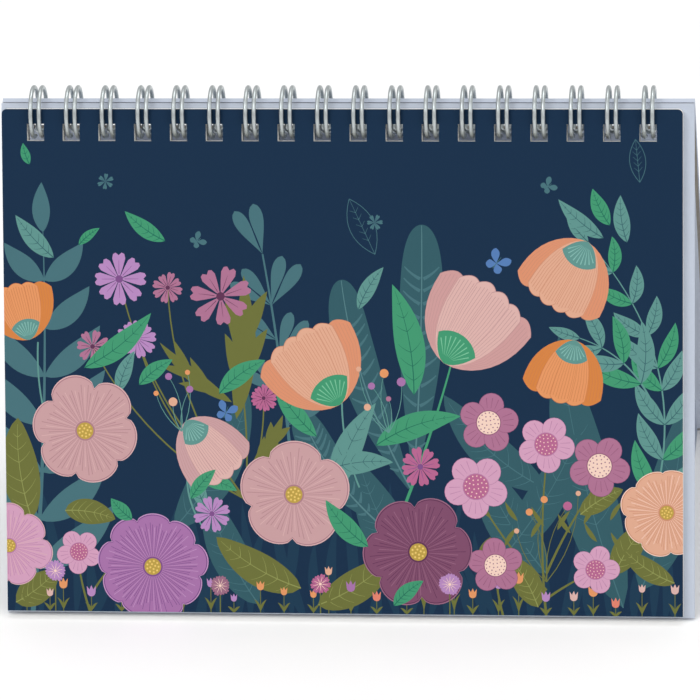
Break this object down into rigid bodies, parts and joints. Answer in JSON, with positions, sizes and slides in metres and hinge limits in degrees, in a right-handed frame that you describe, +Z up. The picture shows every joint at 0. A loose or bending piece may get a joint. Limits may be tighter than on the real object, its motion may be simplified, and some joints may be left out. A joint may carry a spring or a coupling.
{
  "type": "flip desk calendar",
  "caption": "Landscape desk calendar: leaves bound by twin-loop wire to two boards that stand as a tent on a creased card base, with a printed flower cover.",
  "frame": {"origin": "on the desk, midway under the tent and midway along the boards", "axes": "+X along the binding, to the right seen from the front; the cover faces -Y; +Z up"},
  "size_m": [0.163, 0.0951, 0.1159],
  "materials": {
    "cover_print": "smooth coated card, dark printed ground",
    "page_paper": "matte uncoated paper",
    "board_core": "dense greyboard",
    "board_wrap": "fine matte covering paper",
    "board_lining": "matte lining paper",
    "base_card": "matte creased card",
    "wire": "bright drawn wire"
  },
  "bodies": {
    "front_panel": {"front_board_core": "board_core", "front_board_wrap": "board_wrap", "front_board_lining": "board_lining", "base_card": "base_card"},
    "rear_panel": {"rear_board_core": "board_core", "rear_board_wrap": "board_wrap", "rear_board_lining": "board_lining"},
    "binding_wire": {"twin_loop_wire": "wire"},
    "cover_leaf": {"cover_sheet": "cover_print", "cover_punched_edge": "cover_print"},
    "year_leaf": {"year_sheet": "page_paper", "year_punched_edge": "page_paper"},
    "month_01_leaf": {"month_01_sheet": "page_paper", "month_01_punched_edge": "page_paper"},
    "month_02_leaf": {"month_02_sheet": "page_paper", "month_02_punched_edge": "page_paper"},
    "month_03_leaf": {"month_03_sheet": "page_paper", "month_03_punched_edge": "page_paper"},
    "month_04_leaf": {"month_04_sheet": "page_paper", "month_04_punched_edge": "page_paper"},
    "month_05_leaf": {"month_05_sheet": "page_paper", "month_05_punched_edge": "page_paper"},
    "month_06_leaf": {"month_06_sheet": "page_paper", "month_06_punched_edge": "page_paper"},
    "month_07_leaf": {"month_07_sheet": "page_paper", "month_07_punched_edge": "page_paper"},
    "month_08_leaf": {"month_08_sheet": "page_paper", "month_08_punched_edge": "page_paper"},
    "month_09_leaf": {"month_09_sheet": "page_paper", "month_09_punched_edge": "page_paper"},
    "month_10_leaf": {"month_10_sheet": "page_paper", "month_10_punched_edge": "page_paper"},
    "month_11_leaf": {"month_11_sheet": "page_paper", "month_11_punched_edge": "page_paper"},
    "month_12_leaf": {"month_12_sheet": "page_paper", "month_12_punched_edge": "page_paper"}
  },
  "joints": [
    {"name": "stand_fold", "type": "hinge", "parent": "front_panel", "child": "rear_panel", "pos_m": [0, 0, 0.10953], "axis": [1, 0, 0], "range_deg": [-44, 0], "deforming": ["base_card"]},
    {"name": "wire_roll", "type": "hinge", "parent": "front_panel", "child": "binding_wire", "pos_m": [0, 0, 0.10953], "axis": [1, 0, 0], "range_deg": [-23, 0]},
    {"name": "cover_turn", "type": "hinge", "parent": "front_panel", "child": "cover_leaf", "pos_m": [0, 0, 0.11897], "axis": [-1, 0, 0], "range_deg": [0, 316], "deforming": ["cover_punched_edge"]},
    {"name": "year_turn", "type": "hinge", "parent": "front_panel", "child": "year_leaf", "pos_m": [0, 0, 0.11897], "axis": [-1, 0, 0], "range_deg": [0, 316], "deforming": ["year_punched_edge"]},
    {"name": "month_01_turn", "type": "hinge", "parent": "front_panel", "child": "month_01_leaf", "pos_m": [0, 0, 0.11897], "axis": [-1, 0, 0], "range_deg": [0, 316], "deforming": ["month_01_punched_edge"]},
    {"name": "month_02_turn", "type": "hinge", "parent": "front_panel", "child": "month_02_leaf", "pos_m": [0, 0, 0.11897], "axis": [-1, 0, 0], "range_deg": [0, 316], "deforming": ["month_02_punched_edge"]},
    {"name": "month_03_turn", "type": "hinge", "parent": "front_panel", "child": "month_03_leaf", "pos_m": [0, 0, 0.11897], "axis": [-1, 0, 0], "range_deg": [0, 316], "deforming": ["month_03_punched_edge"]},
    {"name": "month_04_turn", "type": "hinge", "parent": "front_panel", "child": "month_04_leaf", "pos_m": [0, 0, 0.11897], "axis": [-1, 0, 0], "range_deg": [0, 316], "deforming": ["month_04_punched_edge"]},
    {"name": "month_05_turn", "type": "hinge", "parent": "front_panel", "child": "month_05_leaf", "pos_m": [0, 0, 0.11897], "axis": [-1, 0, 0], "range_deg": [0, 316], "deforming": ["month_05_punched_edge"]},
    {"name": "month_06_turn", "type": "hinge", "parent": "front_panel", "child": "month_06_leaf", "pos_m": [0, 0, 0.11897], "axis": [-1, 0, 0], "range_deg": [0, 316], "deforming": ["month_06_punched_edge"]},
    {"name": "month_07_turn", "type": "hinge", "parent": "front_panel", "child": "month_07_leaf", "pos_m": [0, 0, 0.11897], "axis": [-1, 0, 0], "range_deg": [0, 316], "deforming": ["month_07_punched_edge"]},
    {"name": "month_08_turn", "type": "hinge", "parent": "front_panel", "child": "month_08_leaf", "pos_m": [0, 0, 0.11897], "axis": [-1, 0, 0], "range_deg": [0, 316], "deforming": ["month_08_punched_edge"]},
    {"name": "month_09_turn", "type": "hinge", "parent": "front_panel", "child": "month_09_leaf", "pos_m": [0, 0, 0.11897], "axis": [-1, 0, 0], "range_deg": [0, 316], "deforming": ["month_09_punched_edge"]},
    {"name": "month_10_turn", "type": "hinge", "parent": "front_panel", "child": "month_10_leaf", "pos_m": [0, 0, 0.11897], "axis": [-1, 0, 0], "range_deg": [0, 316], "deforming": ["month_10_punched_edge"]},
    {"name": "month_11_turn", "type": "hinge", "parent": "front_panel", "child": "month_11_leaf", "pos_m": [0, 0, 0.11897], "axis": [-1, 0, 0], "range_deg": [0, 316], "deforming": ["month_11_punched_edge"]},
    {"name": "month_12_turn", "type": "hinge", "parent": "front_panel", "child": "month_12_leaf", "pos_m": [0, 0, 0.11897], "axis": [-1, 0, 0], "range_deg": [0, 316], "deforming": ["month_12_punched_edge"]}
  ],
  "couplings": [
    {"joint": "wire_roll", "follows": "stand_fold", "ratio": 0.5},
    {"joint": "year_turn", "follows": "cover_turn", "ratio": 1},
    {"joint": "month_01_turn", "follows": "cover_turn", "ratio": 1},
    {"joint": "month_02_turn", "follows": "cover_turn", "ratio": 1},
    {"joint": "month_03_turn", "follows": "cover_turn", "ratio": 1},
    {"joint": "month_04_turn", "follows": "cover_turn", "ratio": 1},
    {"joint": "month_05_turn", "follows": "cover_turn", "ratio": 1},
    {"joint": "month_06_turn", "follows": "cover_turn", "ratio": 1},
    {"joint": "month_07_turn", "follows": "cover_turn", "ratio": 1},
    {"joint": "month_08_turn", "follows": "cover_turn", "ratio": 1},
    {"joint": "month_09_turn", "follows": "cover_turn", "ratio": 1},
    {"joint": "month_10_turn", "follows": "cover_turn", "ratio": 1},
    {"joint": "month_11_turn", "follows": "cover_turn", "ratio": 1},
    {"joint": "month_12_turn", "follows": "cover_turn", "ratio": 1}
  ]
}
